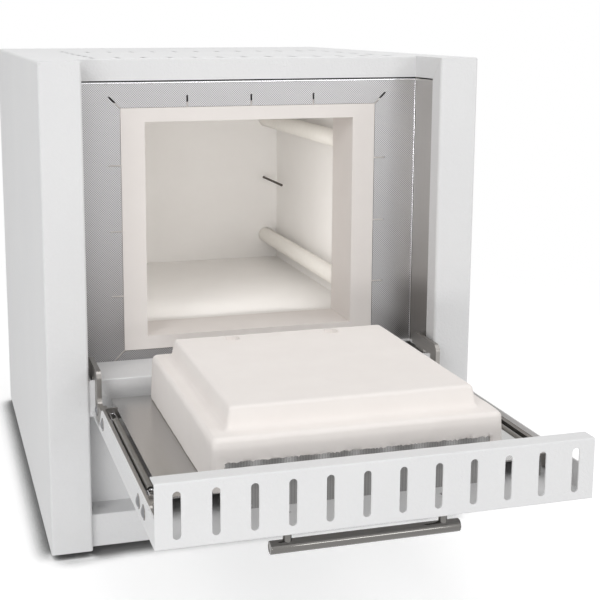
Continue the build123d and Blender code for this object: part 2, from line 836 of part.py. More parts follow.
# ---------------------------------------------------------------- door
def door_skin():
    """Outer door sheet: bottom, slotted apron with its lip, and two side flanges."""
    skin = block((-door_half, door_half), (door_front, skin_rear), (skin_bottom, skin_top))
    skin += block((-door_half, door_half), (door_front, door_front + steel), (skin_bottom, apron_top))
    skin += block((-door_half, door_half), (door_front, door_front + apron_lip), (apron_top - steel, apron_top))
    flange = side_profile(
        [(door_front, skin_bottom), (flange_rear + flange_slope, skin_bottom), (flange_rear, flange_top),
         (door_front + steel, flange_top)],
        flange_inner, door_half)
    for part in both_sides(flange):
        skin += part
    long_edges = [e for e in skin.edges().filter_by(Axis.X)
                  if abs(e.center().Y - door_front) < 0.01 and e.length > door_half]
    skin = fillet(long_edges, bend / 2)
    slot = Rot(0, 0, 90) * SlotOverall(apron_slot_length, apron_slot_width)
    first = -(apron_slots - 1) / 2 * apron_slot_pitch
    middle = (skin_bottom + apron_top) / 2
    for index in range(apron_slots):
        skin -= upright(slot, first + index * apron_slot_pitch, middle, door_front - 1, door_front + steel + 1)
    for y in bolt_ys[1:]:
        for side in (-1, 1):
            ends = (side * flange_inner - steel - 0.1, side * flange_inner + steel + 0.1)
            skin -= rod_x(y, bolt_z, bolt_radius + bolt_play, *ends)
    for side in (-1, 1):
        skin -= Pos(side * post_spread, handle_y, skin_bottom) * Cylinder(bolt_radius, 4 * steel)
    return skin


def door_pan():
    """Stainless pan under the fibre block, with side flanges and a front upstand."""
    inner = pan_half - steel
    pan = block((-pan_half, pan_half), (pan_front, pan_rear), (pan_level - steel, pan_level))
    for side in ((-pan_half, -inner), (inner, pan_half)):
        pan += block(side, (pan_front, pan_rear), (skin_top, pan_level))
    pan += block((-upstand_half, upstand_half), (pan_front, pan_front + steel), (skin_top, pan_level + pan_upstand))
    return pan


def door_fibre_block():
    """Moulded fibre block: a slab with drafted sides and a plug that enters the mouth."""
    slab_length = block_rear - block_front
    centre_y = (block_front + block_rear) / 2
    base = Pos(0, centre_y, pan_level) * Rectangle(2 * block_half, slab_length)
    draft = 2 * block_draft
    crown = Pos(0, centre_y, block_top) * Rectangle(2 * block_half - draft, slab_length - draft / 2)
    slab = loft([base, crown])
    slab = fillet(slab.edges().filter_by(lambda e: abs(e.tangent_at(0).Z) > 0.9), block_edge_radius * 2)
    plug_length = plug_rear - plug_front
    plug_y = (plug_front + plug_rear) / 2
    foot = Pos(0, plug_y, block_top) * Rectangle(2 * plug_half, plug_length)
    taper = 2 * plug_taper
    face = Pos(0, plug_y, block_top + plug_height) * Rectangle(2 * plug_half - taper, plug_length - taper)
    plug = loft([foot, face])
    plug = fillet(plug.edges().filter_by(lambda e: abs(e.tangent_at(0).Z) > 0.9), block_edge_radius)
    plug = chamfer(plug.faces().sort_by(Axis.Z)[-1].edges(), plug_edge_radius)
    slab = chamfer(slab.faces().sort_by(Axis.Z)[-1].edges(), block_edge_radius)
    body = slab + plug
    inner_corner = [e for e in body.edges()
                    if abs(e.center().Z - block_top) < 0.01 and abs(e.center().X) < plug_half + 1
                    and plug_front - 1 < e.center().Y < plug_rear + 1]
    body = fillet(inner_corner, plug_base_radius)
    rebate_half = upstand_half + fibre_play
    body -= block((-rebate_half, rebate_half), (block_front - 1, pan_front + steel + fibre_play),
                  (pan_level - 1, pan_level + pan_upstand + fibre_play))
    for side in (-1, 1):
        place = Pos(side * dimple_spread, plug_rear - plug_taper - dimple_from_edge, block_top + plug_height)
        body -= place * Cylinder(dimple_radius, 2 * dimple_depth)
    return body


def lever_bolts():
    """Dome-headed bolts through the levers and the door's side flanges."""
    bolts = []
    for index, y in enumerate(bolt_ys):
        seat = lever_outer if index == 0 else door_half
        shank = rod_x(y, bolt_z, bolt_radius, lever_inner, seat)
        head = rod_x(y, bolt_z, bolt_head_radius, seat, seat + bolt_head_height)
        rim = head.edges().filter_by(GeomType.CIRCLE).sort_by(Axis.X)[-1]
        bolts += both_sides(shank + chamfer(rim, bolt_head_height / 2, bolt_head_height))
    return bolts


def door_spring():
    """Right balance spring: its close-wound body with a hook at each end."""
    body = rod_y(spring_x, spring_z, spring_radius, spring_front, spring_rear)
    body += rod_y(spring_x, spring_z, hook_wire, spring_rear, rear_anchor_y - fibre_play)
    body += rod_y(spring_x, spring_z, hook_wire, front_anchor_y + fibre_play, spring_front)
    return body


def spring_anchors():
    """Lugs on the right lever that the spring hooks on, one at each end."""
    lugs = []
    for y, away in ((rear_anchor_y, 1), (front_anchor_y, -1)):
        ends = sorted((y, y + away * anchor_thick))
        face = block((spring_x - anchor_height / 2, lever_inner), ends,
                     (spring_z - anchor_height / 2, spring_z + anchor_height / 2))
        ends = sorted((y, y + away * anchor_length))
        foot = block((lever_inner - anchor_thick, lever_inner), ends,
                     (spring_z - anchor_height / 2, leg_top))
        lugs.append(face + foot)
    return lugs


def handle_bar():
    bar = rod_x(handle_y, handle_z, handle_radius, -handle_length / 2, handle_length / 2)
    return chamfer(bar.edges().filter_by(GeomType.CIRCLE), 1.0)


def handle_posts():
    """Two posts between the bar and the door skin, each with a wider foot."""
    posts = []
    for side in (-1, 1):
        x = side * post_spread
        height = skin_bottom - handle_z
        post = Pos(x, handle_y, handle_z + height / 2) * Cylinder(post_radius, height)
        foot = Pos(x, handle_y, skin_bottom - post_foot_height / 2) * Cylinder(post_foot_radius, post_foot_height)
        screw = Pos(x, handle_y, skin_bottom + steel) * Cylinder(bolt_radius - bolt_play, 2 * steel)
        seat = rod_x(handle_y, handle_z, handle_radius + pin_play, x - post_head, x + post_head)
        posts.append(post + foot + screw - seat)
    return posts


# ---------------------------------------------------------------- write every node
os.makedirs("parts", exist_ok=True)

right_cover = side_cover()
save("right_side_cover", right_cover)
save("left_side_cover", other_side(right_cover))
save("top_cover", top_cover())
save("rear_cover", rear_cover())
save("rear_screws", *rear_screws())
save("base_tray", base_tray())
save("rubber_feet", *rubber_feet())
save("chassis_rails", *chassis_rails())
save("control_panel", control_panel())
save("controller_case", controller_case())
save("controller_window", controller_window())
save("switch_frame", switch_frame())
save("power_rocker", power_rocker())
save("relay_unit", relay_unit())
save("door_sill", door_sill())
save("front_plate", front_plate())
save("right_alcove_liner", alcove_liner())
save("left_alcove_liner", other_side(alcove_liner()))

save("fibre_collar", fibre_collar())
save("chamber_floor", chamber_floor())
save("chamber_ceiling", chamber_ceiling())
save("right_chamber_wall", chamber_wall())
save("left_chamber_wall", other_side(chamber_wall()))
save("chamber_back_wall", chamber_back_wall())
save("back_insulation", back_insulation())
save("floor_insulation", floor_insulation())
save("ceiling_insulation", ceiling_insulation())
save("right_side_insulation", side_insulation())
save("left_side_insulation", other_side(side_insulation()))
save("inner_casing", inner_casing())

tube_names = ("lower", "upper")
for side_name, tube_side in (("left", -1), ("right", 1)):
    for level_name, level in zip(tube_names, tube_zs):
        save(f"{side_name}_{level_name}_heating_tube", heating_tube(tube_side * tube_x, level))
save("heating_rods", *heating_rods())
save("terminal_blocks", *terminal_blocks())
save("thermocouple_sheath", thermocouple_sheath())
save("thermocouple_head", thermocouple_head())
save("flue_tube", flue_tube())
save("flue_flange", flue_flange())
save("cable_gland", cable_gland())

save("right_hinge_bracket", hinge_bracket())
save("left_hinge_bracket", other_side(hinge_bracket()))
save("hinge_pins", *both_sides(hinge_pin()))
lever = hinge_lever()
save("right_hinge_lever", lever)
save("left_hinge_lever", other_side(lever))

save("door_skin", door_skin())
save("door_pan", door_pan())
save("door_fibre_block", door_fibre_block())
save("lever_bolts", *lever_bolts())
save("right_door_spring", door_spring())
save("left_door_spring", other_side(door_spring()))
save("spring_anchors", *spring_anchors(), *[other_side(lug) for lug in spring_anchors()])
save("handle_bar", handle_bar())
save("handle_posts", *handle_posts())

print("origin is", round(footprint_centre_y, 3), "mm behind the column fronts")
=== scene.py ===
# %% [markdown]
# # A bench muffle furnace
# The furnace's exact solids come in first and never move. This lesson then gives each of them the
# surface of the real sheet metal or fibre, and models the small things that look too plain as
# solids: bolts, springs, screws, keys, feet. Lengths are typed in millimetres, because that is
# how the furnace is measured.

# %% Load the furnace
import math
import bmesh
import bpy
from mathutils import Matrix, Vector


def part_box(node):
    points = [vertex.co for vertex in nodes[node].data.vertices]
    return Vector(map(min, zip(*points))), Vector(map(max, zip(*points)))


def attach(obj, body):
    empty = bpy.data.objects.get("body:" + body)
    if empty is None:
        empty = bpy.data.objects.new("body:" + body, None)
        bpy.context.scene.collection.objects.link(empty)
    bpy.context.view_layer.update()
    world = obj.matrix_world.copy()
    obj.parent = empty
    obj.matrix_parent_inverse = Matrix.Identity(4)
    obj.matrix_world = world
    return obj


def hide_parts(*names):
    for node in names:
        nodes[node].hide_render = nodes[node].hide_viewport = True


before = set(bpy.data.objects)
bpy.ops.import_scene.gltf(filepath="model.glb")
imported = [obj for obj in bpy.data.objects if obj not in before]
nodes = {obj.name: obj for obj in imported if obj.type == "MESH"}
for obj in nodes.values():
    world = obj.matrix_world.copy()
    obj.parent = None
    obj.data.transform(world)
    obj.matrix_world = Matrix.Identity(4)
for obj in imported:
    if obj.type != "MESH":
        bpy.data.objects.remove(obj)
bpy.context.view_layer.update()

# %% Millimetres to metres, and places on the casing
# The casing is measured from its underside and from the front of its columns.
# The furnace's own origin lies on the bench, 136 mm behind those fronts, and the feet are 8 mm high.
COLUMN_FRONTS = -136.0
FEET = 8.0


def mm(*lengths):
    """Millimetres as metres: one number, or a vector of three."""
    metres = [length / 1000 for length in lengths]
    return metres[0] if len(metres) == 1 else Vector(metres)


def on_casing(x, y, z):
    """A place given from the casing's middle, column fronts and underside."""
    return mm(x, y + COLUMN_FRONTS, z + FEET)


print("top of the casing is at", on_casing(0, 0, 533)[2], "m")

# %% [markdown]
# ## The camera
# The furnace is seen from the left, a little from above, with a long lens, so that its upright
# edges stay nearly parallel. A camera that looks down makes uprights lean apart. A small shift of
# the lens takes part of that away, as on a view camera, and keeps the door's front edge in the
# picture.

# %% Put up the camera
FOCAL_LENGTH = 70.8
SENSOR_WIDTH = 36.0
LENS_SHIFT = (0.08, -0.12)
CAMERA_PLACE = on_casing(-361.8, -1217.3, 572.9)
TILT_DOWN = 0.1733
TURN_RIGHT = 0.2746

lens_data = bpy.data.cameras.new("studio_camera")
lens_data.lens = FOCAL_LENGTH
lens_data.sensor_width = SENSOR_WIDTH
lens_data.shift_x, lens_data.shift_y = LENS_SHIFT
camera = bpy.data.objects.new("studio_camera", lens_data)
camera.location = CAMERA_PLACE
camera.rotation_euler = (math.pi / 2 - TILT_DOWN, 0, -TURN_RIGHT)
bpy.context.scene.collection.objects.link(camera)
bpy.context.scene.camera = camera
print("camera at", [round(c, 3) for c in camera.location], "lens", lens_data.lens, "mm")

# %% [markdown]
# ## Node helpers
# A material is a small network. One helper adds a node with its settings and its inputs, where an
# input is a plain value or the output of another node. Another turns a hex colour, as a paint
# chart gives it, into Blender's linear light.

# %% Add a node, and read a hex colour
def add(tree, kind, inputs=None, **settings):
    """Add one node: settings are its properties, inputs are values or other nodes' outputs."""
    node = tree.nodes.new(kind)
    for name, value in settings.items():
        setattr(node, name, value)
    for name, value in (inputs or {}).items():
        socket = node.inputs[name]
        if isinstance(value, bpy.types.NodeSocket):
            tree.links.new(value, socket)
        else:
            socket.default_value = value
    return node


def hex_colour(code):
    """An sRGB hex colour, such as #A0B1C2, as linear red, green, blue and alpha."""
    parts = [int(code[i:i + 2], 16) / 255 for i in (1, 3, 5)]
    linear = [p / 12.92 if p <= 0.04045 else ((p + 0.055) / 1.055) ** 2.4 for p in parts]
    return (*linear, 1.0)


print("half grey is", round(hex_colour("#808080")[0], 3), "in linear light")


# %% Start a finish, and paint the solids with it
def new_finish(name, **values):
    """A material with one Principled shader.

    Returns the material, its tree, the shader and the Object coordinates.
    """
    material = bpy.data.materials.new(name)
    material.use_nodes = True
    tree = material.node_tree
    tree.nodes.clear()
    shader = add(tree, "ShaderNodeBsdfPrincipled", values)
    add(tree, "ShaderNodeOutputMaterial", {"Surface": shader.outputs[0]})
    place = add(tree, "ShaderNodeTexCoord").outputs["Object"]
    return material, tree, shader, place


# A Mix node has sockets for numbers, vectors and colours; these are the places of its colour sockets.
COLOUR_A, COLOUR_B, COLOUR_RESULT = 6, 7, 2


def blend_colours(tree, factor, low, high):
    """Between two hex colours by a factor from 0 to 1."""
    colours = {COLOUR_A: hex_colour(low), COLOUR_B: hex_colour(high)}
    mix = add(tree, "ShaderNodeMix", {"Factor": factor, **colours}, data_type="RGBA")
    return mix.outputs[COLOUR_RESULT]


def paint(material, *names):
    """Give each of these solids the finish, and say how many there are."""
    for name in names:
        nodes[name].data.materials.clear()
        nodes[name].data.materials.append(material)
    return len(names)


print("finishes start from a Principled shader")

# %% [markdown]
# ## White powder coat
# The casing is steel sheet, sprayed with white polyester powder and baked. The powder melts into
# a skin with a fine orange-peel grain of 2 to 3 mm, which scatters the light: satin, never
# mirror-like. A noise texture of that size, as bump, gives the grain, and a second, wide noise
# shifts the white a little, so that big panels don't look computed.

# %% Powder coat
GRAIN = 2.6
GRAIN_HEIGHT = 0.5

powder_coat, tree, shader, place = new_finish("white_powder_coat", Roughness=0.42, IOR=1.5)
grain = add(tree, "ShaderNodeTexNoise",
            {"Vector": place, "Scale": 1000 / GRAIN, "Detail": 3.0, "Roughness": 0.55})
cloud = add(tree, "ShaderNodeTexNoise", {"Vector": place, "Scale": 9.0, "Detail": 2.0})
white = blend_colours(tree, cloud.outputs["Fac"], "#DFDFE0", "#E5E5E5")
tree.links.new(white, shader.inputs["Base Color"])
grain_bump = add(tree, "ShaderNodeBump",
                 {"Height": grain.outputs["Fac"], "Strength": 0.9, "Distance": mm(GRAIN_HEIGHT)})
tree.links.new(grain_bump.outputs[0], shader.inputs["Normal"])
count = paint(powder_coat, "right_side_cover", "left_side_cover", "top_cover", "rear_cover", "base_tray",
              "control_panel", "door_sill", "door_skin", "right_hinge_bracket", "left_hinge_bracket")
print("powder-coated solids:", count)

# %% [markdown]
# ## Embossed stainless steel
# The plate round the mouth and the pan of the door are stainless sheet with a fine linen pattern
# rolled into it, rows of tiny diamonds, which hides scratches and keeps the sheet flat in the
# heat. Two sets of waves that cross at right angles in the sheet make the diamonds. The real
# pitch is about 1 mm; 1.8 mm is the finest that shows here.

# %% Linen-embossed sheet
LINEN_PITCH = 1.8
EMBOSS_HEIGHT = 0.08
SMUDGE = 0.04


def embossed_steel(name, across, low, high, rough):
    """Stainless with a linen pattern; across is the sheet's direction at right angles to X."""
    material, tree, shader, place = new_finish(name, Metallic=1.0, Roughness=rough)
    waves = []
    for direction in ((1, 0, 0), across):
        turns = Vector(direction) * 2 * math.pi / mm(LINEN_PITCH * math.sqrt(2))
        along = add(tree, "ShaderNodeVectorMath", {0: place, 1: turns}, operation="DOT_PRODUCT")
        waves.append(add(tree, "ShaderNodeMath", {0: along.outputs["Value"]}, operation="SINE").outputs[0])
    diamonds = add(tree, "ShaderNodeMath", {0: waves[0], 1: waves[1]}, operation="MULTIPLY").outputs[0]
    tone = add(tree, "ShaderNodeMapRange", {"Value": diamonds, "From Min": -1.0}).outputs[0]
    tree.links.new(blend_colours(tree, tone, low, high), shader.inputs["Base Color"])
    smudge = add(tree, "ShaderNodeTexNoise", {"Vector": place, "Scale": 14.0, "Detail": 4.0}).outputs["Fac"]
    gloss = add(tree, "ShaderNodeMapRange",
                {"Value": smudge, "To Min": rough - SMUDGE, "To Max": rough + SMUDGE})
    tree.links.new(gloss.outputs[0], shader.inputs["Roughness"])
    emboss = add(tree, "ShaderNodeBump",
                 {"Height": diamonds, "Strength": 0.3, "Distance": mm(EMBOSS_HEIGHT)})
    tree.links.new(emboss.outputs[0], shader.inputs["Normal"])
    return material


plate_linen = embossed_steel("linen_embossed_stainless_plate", (0, 0, 1), "#717070", "#C5C4C5", 0.36)
pan_linen = embossed_steel("linen_embossed_stainless_pan", (0, 1, 0), "#959493", "#D8D7D6", 0.22)
print("embossed sheets:", paint(plate_linen, "front_plate") + paint(pan_linen, "door_pan"))

# %% [markdown]
# ## Brushed stainless steel
# The liners, levers, handle and spring lugs are plain stainless, brushed with a belt. The belt
# leaves hair-thin lines one way, so a noise texture is squeezed across the lines and stretched
# along them.

# %% Brushed sheet and bar
BRUSH_GLOSS = 0.08
SCRATCH_DEPTH = 0.05


def brushed_steel(name, stretch, low, high, rough):
    """Stainless with brush lines; stretch is how fine the noise is along each axis, in lines per metre."""
    material, tree, shader, place = new_finish(name, Metallic=1.0, Roughness=rough)
    lines = add(tree, "ShaderNodeMapping", {"Vector": place, "Scale": stretch}).outputs[0]
    hair = add(tree, "ShaderNodeTexNoise", {"Vector": lines, "Scale": 1.0, "Detail": 4.0}).outputs["Fac"]
    tree.links.new(blend_colours(tree, hair, low, high), shader.inputs["Base Color"])
    gloss = add(tree, "ShaderNodeMapRange",
                {"Value": hair, "To Min": rough - BRUSH_GLOSS, "To Max": rough + BRUSH_GLOSS})
    tree.links.new(gloss.outputs[0], shader.inputs["Roughness"])
    scratch = add(tree, "ShaderNodeBump",
                  {"Height": hair, "Strength": 0.12, "Distance": mm(SCRATCH_DEPTH)})
    tree.links.new(scratch.outputs[0], shader.inputs["Normal"])
    return material


upright_brushed = brushed_steel("brushed_stainless_liner", (1500, 1500, 6), "#A6A3A0", "#C4C1BD", 0.34)
lever_brushed = brushed_steel("brushed_stainless_lever", (1500, 12, 900), "#918E8B", "#ACA9A5", 0.36)
bar_brushed = brushed_steel("ground_stainless_bar", (6, 1500, 1500), "#6E6C6A", "#8B8986", 0.1)
count = paint(upright_brushed, "right_alcove_liner", "left_alcove_liner")
count += paint(lever_brushed, "right_hinge_lever", "left_hinge_lever", "spring_anchors", "flue_flange")
count += paint(bar_brushed, "handle_bar", "handle_posts")
print("brushed solids:", count)

# %% [markdown]
# ## Vacuum-formed ceramic fibre
# The collar, the chamber and the door's block are white alumina-silica fibre, sucked onto a mould
# from a slurry and fired. The surface is chalky and slightly warm, with no gloss, fine fibres and
# faint clouds from the mould.

# %% Fibre boards
FELT_HEIGHT = 0.2


def ceramic_fibre(name, low, high, grain_mm):
    """Chalky fibre with faint clouds and a felted skin."""
    material, tree, shader, place = new_finish(name, Roughness=0.95, IOR=1.4)
    shader.inputs["Specular IOR Level"].default_value = 0.2
    cloud = add(tree, "ShaderNodeTexNoise",
                {"Vector": place, "Scale": 22.0, "Detail": 5.0, "Roughness": 0.6})
    tree.links.new(blend_colours(tree, cloud.outputs["Fac"], low, high), shader.inputs["Base Color"])
    fine = add(tree, "ShaderNodeTexNoise",
               {"Vector": place, "Scale": 1000 / grain_mm, "Detail": 6.0, "Roughness": 0.7})
    felt = add(tree, "ShaderNodeBump",
               {"Height": fine.outputs["Fac"], "Strength": 0.35, "Distance": mm(FELT_HEIGHT)})
    tree.links.new(felt.outputs[0], shader.inputs["Normal"])
    return material


# The chamber's copy of the fibre is whiter than the collar's: painted light that makes up for the bounce
# light lost between the chamber's walls.
chamber_fibre_painted_brighter = ceramic_fibre("formed_ceramic_fibre_chamber", "#F5F2EF", "#FAF8F5", 2.2)
collar_fibre = ceramic_fibre("formed_ceramic_fibre_collar", "#E6E0DC", "#ECE7E3", 2.4)
door_fibre = ceramic_fibre("formed_ceramic_fibre_door", "#EEE8E4", "#F5F0EC", 2.6)
count = paint(chamber_fibre_painted_brighter, "chamber_floor", "chamber_ceiling", "right_chamber_wall", "left_chamber_wall",
              "chamber_back_wall")
count += paint(collar_fibre, "fibre_collar") + paint(door_fibre, "door_fibre_block")
print("fibre solids:", count)

# %% [markdown]
# ## Ceramics inside
# The heating tubes are sintered ceramic, smoother than the fibre and a little glossier. The flue
# is the same. The heating rods carry dark oxidised wire, and the terminals are glazed steatite.

# %% Tubes, rods and terminals
def fired_ceramic(name, low, high, rough, grain_mm):
    """A fired surface with a faint mottle, in its colour and as a shallow bump."""
    material, tree, shader, place = new_finish(name, Roughness=rough, IOR=1.55)
    mottle = add(tree, "ShaderNodeTexNoise",
                 {"Vector": place, "Scale": 1000 / grain_mm, "Detail": 3.0}).outputs["Fac"]
    tree.links.new(blend_colours(tree, mottle, low, high), shader.inputs["Base Color"])
    skin = add(tree, "ShaderNodeBump", {"Height": mottle, "Strength": 0.1, "Distance": mm(0.1)})
    tree.links.new(skin.outputs[0], shader.inputs["Normal"])
    return material


tube_ceramic = fired_ceramic("sintered_ceramic_tube", "#EDE9E2", "#F4F1EB", 0.6, 8.0)
steatite = fired_ceramic("glazed_steatite", "#E8E4DA", "#F0EDE4", 0.25, 12.0)
oxidised_wire = fired_ceramic("oxidised_heating_wire", "#3A332E", "#5A5048", 0.7, 2.0)
count = paint(tube_ceramic, "left_lower_heating_tube", "left_upper_heating_tube",
              "right_lower_heating_tube", "right_upper_heating_tube", "flue_tube")
count += paint(steatite, "terminal_blocks", "thermocouple_head")
count += paint(oxidised_wire, "heating_rods", "thermocouple_sheath")
print("ceramic solids:", count)

# %% [markdown]
# ## Boards and galvanised sheet
# Calcium silicate boards stand round the chamber, inside a galvanised box. Zinc freezes on the
# steel in large flat crystals, the spangle, which a Voronoi texture gives with its cells.

# %% Boards and zinc
SPANGLE = 9.0

board, tree, shader, place = new_finish("calcium_silicate_board", Roughness=0.9)
fleck = add(tree, "ShaderNodeTexNoise", {"Vector": place, "Scale": 160.0, "Detail": 5.0}).outputs["Fac"]
tree.links.new(blend_colours(tree, fleck, "#D5CFC2", "#E4DFD3"), shader.inputs["Base Color"])
zinc, tree, shader, place = new_finish("hot_dip_galvanised_sheet", Metallic=1.0, Roughness=0.45)
spangle = add(tree, "ShaderNodeTexVoronoi", {"Vector": place, "Scale": 1000 / SPANGLE}).outputs["Color"]
share = add(tree, "ShaderNodeSeparateColor", {"Color": spangle}).outputs[0]
tree.links.new(blend_colours(tree, share, "#8F9599", "#BCC1C4"), shader.inputs["Base Color"])
gloss = add(tree, "ShaderNodeMapRange", {"Value": share, "To Min": 0.32, "To Max": 0.55}).outputs[0]
tree.links.new(gloss, shader.inputs["Roughness"])
count = paint(board, "back_insulation", "floor_insulation", "ceiling_insulation", "right_side_insulation",
              "left_side_insulation")
count += paint(zinc, "inner_casing", "chassis_rails", "relay_unit", "hinge_pins")
print("boards and zinc:", count)

# %% [markdown]
# ## Plastics, rubber and bright metal
# The controller and the switch are moulded ABS with a spark-eroded grain. The window over the
# display is smoked acrylic. The feet are black rubber. The screws and hooks are nickel-bright, and
# the stainless hems get the same bright colour as a painted highlight. The door's bolts have a
# darker zinc plate, and the springs and washers are oiled dark steel.

# %% Small finishes
FILM_GLOSS = 0.12


def moulded(name, low, high, rough, grain_mm, depth_mm):
    """Plastic or rubber with the grain of its mould."""
    material, tree, shader, place = new_finish(name, Roughness=rough, IOR=1.5)
    grain = add(tree, "ShaderNodeTexNoise",
                {"Vector": place, "Scale": 1000 / grain_mm, "Detail": 2.0}).outputs["Fac"]
    tree.links.new(blend_colours(tree, grain, low, high), shader.inputs["Base Color"])
    erode = add(tree, "ShaderNodeBump", {"Height": grain, "Strength": 0.4, "Distance": mm(depth_mm)})
    tree.links.new(erode.outputs[0], shader.inputs["Normal"])
    return material


def bright_metal(name, low, high, rough):
    """Plated or oiled metal, clouded by a thin film that varies its gloss."""
    material, tree, shader, place = new_finish(name, Metallic=1.0, Roughness=rough)
    film = add(tree, "ShaderNodeTexNoise", {"Vector": place, "Scale": 300.0, "Detail": 3.0}).outputs["Fac"]
    tree.links.new(blend_colours(tree, film, low, high), shader.inputs["Base Color"])
    gloss = add(tree, "ShaderNodeMapRange",
                {"Value": film, "To Min": rough, "To Max": rough + FILM_GLOSS}).outputs[0]
    tree.links.new(gloss, shader.inputs["Roughness"])
    return material


black_abs = moulded("spark_eroded_black_abs", "#1D1D1F", "#262628", 0.5, 0.8, 0.05)
rocker_abs = moulded("polished_black_abs", "#151516", "#1B1B1C", 0.2, 3.0, 0.01)
smoked_acrylic = moulded("smoked_acrylic", "#0C0D10", "#101216", 0.06, 20.0, 0.005)
black_rubber_and_gap_shadow = moulded("moulded_rubber", "#1A1A1A", "#242424", 0.85, 1.5, 0.1)
nickel_and_hem_highlight = bright_metal("nickel_plate", "#C4C4C6", "#DADADC", 0.12)
bolt_zinc = bright_metal("zinc_plated_bolt", "#77777A", "#98989A", 0.14)
spring_wire = bright_metal("oiled_spring_wire", "#6E6C69", "#8E8B87", 0.3)
count = paint(black_abs, "controller_case", "switch_frame", "cable_gland")
count += paint(rocker_abs, "power_rocker") + paint(smoked_acrylic, "controller_window")
count += paint(black_rubber_and_gap_shadow, "rubber_feet") + paint(nickel_and_hem_highlight, "rear_screws", "lever_bolts")
count += paint(spring_wire, "right_door_spring", "left_door_spring")
print("small solids:", count)

# %% [markdown]
# ## Modelling by hand
# The pieces below are made as one would with the mouse: add a primitive, open it in edit mode,
# pick faces or edges, extrude, inset and bevel them, and finish some of them with a modifier.
# Everything is deselected first, because an operator works on all that is selected. At the end
# the place goes into the mesh, so that the piece's own origin is the furnace's.

# %% Pick, close and hand over
def only(part):
    """Leave object mode tidy: this part selected and active, nothing else."""
    bpy.ops.object.select_all(action="DESELECT")
    part.select_set(True)
    bpy.context.view_layer.objects.active = part
    return part


def pick(kind, test):
    """In edit mode, select the vertices, edges or faces whose middle passes the test."""
    bpy.ops.mesh.select_mode(type=kind)
    bpy.ops.mesh.select_all(action="DESELECT")
    mesh = bmesh.from_edit_mesh(bpy.context.object.data)
    if kind == "VERT":
        chosen = [v for v in mesh.verts if test(v.co)]
    elif kind == "EDGE":
        chosen = [e for e in mesh.edges if test((e.verts[0].co + e.verts[1].co) / 2)]
    else:
        chosen = [f for f in mesh.faces if test(f.calc_center_median())]
    for item in chosen:
        item.select_set(True)
    bmesh.update_edit_mesh(bpy.context.object.data)
    return len(chosen)


def bake_place(part):
    """Put the part's place, turn and size into its mesh."""
    only(part)
    bpy.ops.object.transform_apply(location=True, rotation=True, scale=True)
    return part


def copy_to(part, offset=(0, 0, 0), turn=0.0):
    """A copy with its own mesh, turned about the upright axis and then moved."""
    twin = part.copy()
    twin.data = part.data.copy()
    twin.data.transform(Matrix.Translation(offset) @ Matrix.Rotation(turn, 4, "Z"))
    bpy.context.scene.collection.objects.link(twin)
    return twin


def join_all(parts):
    """One object from several."""
    only(parts[0])
    for part in parts:
        part.select_set(True)
    bpy.ops.object.join()
    return bpy.context.object


SMOOTH_UNDER = math.radians(35)


def hand_over(part, name, finish, body, slot_name, *replaced):
    """Name the part, smooth it, paint it and tie it to the body it moves with."""
    bake_place(part)
    bpy.ops.object.shade_smooth_by_angle(angle=SMOOTH_UNDER)
    part.name = name
    part.data.name = name
    part.data.materials.clear()
    part.data.materials.append(finish)
    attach(part, body)
    if replaced:
        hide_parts(*replaced)
    return len(part.data.polygons)


print("modelling helpers are ready")

# %% [markdown]
# ## Balance springs
# Beside each lever lies a close-wound tension spring that takes the door's weight. It is 1.6 mm
# wire wound on itself, so its pitch is the wire's own thickness and a hair more, which keeps the
# turns from merging. A small circle, the wire's section, is set off from the spring's axis and
# swept round it by the Screw modifier.

# %% Wind a spring and mirror it
WIRE = 1.6
COIL_RADIUS = 3.8
SPRING_X = 184.0
SPRING_Z = 173.0
SPRING_ENDS = (-262.0, -75.0)
WIRE_GAP = 1.04
STEPS_PER_TURN = 14


def wind_spring(x):
    """A close-wound spring at this distance from the middle."""
    start = on_casing(x, SPRING_ENDS[0] + WIRE / 2, SPRING_Z)
    bpy.ops.object.select_all(action="DESELECT")
    bpy.ops.mesh.primitive_circle_add(vertices=6, radius=mm(WIRE / 2), location=start)
    coil = bpy.context.object
    bpy.ops.object.mode_set(mode="EDIT")
    bpy.ops.mesh.select_all(action="SELECT")
    bpy.ops.transform.translate(value=(mm(COIL_RADIUS - WIRE / 2), 0, 0))
    bpy.ops.object.mode_set(mode="OBJECT")
    sweep = coil.modifiers.new("winding", "SCREW")
    sweep.axis = "Y"
    sweep.screw_offset = mm(WIRE * WIRE_GAP)
    sweep.iterations = int((SPRING_ENDS[1] - SPRING_ENDS[0] - WIRE) / (WIRE * WIRE_GAP))
    sweep.steps = STEPS_PER_TURN
    sweep.render_steps = STEPS_PER_TURN
    sweep.use_smooth_shade = True
    only(coil)
    bpy.ops.object.modifier_apply(modifier=sweep.name)
    bpy.ops.object.mode_set(mode="EDIT")
    bpy.ops.mesh.select_all(action="SELECT")
    bpy.ops.mesh.normals_make_consistent(inside=False)
    bpy.ops.object.mode_set(mode="OBJECT")
    return coil


for side, x in (("left", -SPRING_X), ("right", SPRING_X)):
    count = hand_over(wind_spring(x), side + "_wound_spring", spring_wire, "door", "spring_steel",
                      side + "_door_spring")
    print(side, "spring faces:", count)

# %% [markdown]
# The spring ends in long bright hooks that hold its lugs. A hook is a ring pulled long: a torus
# whose one half is moved away from the other.

# %% Hooks
HOOK_WIRE = 1.6
HOOK_RADIUS = 2.9
INNER_HOOK = (-76.5, -50.5)
OUTER_HOOK = (-260.5, -287.5)


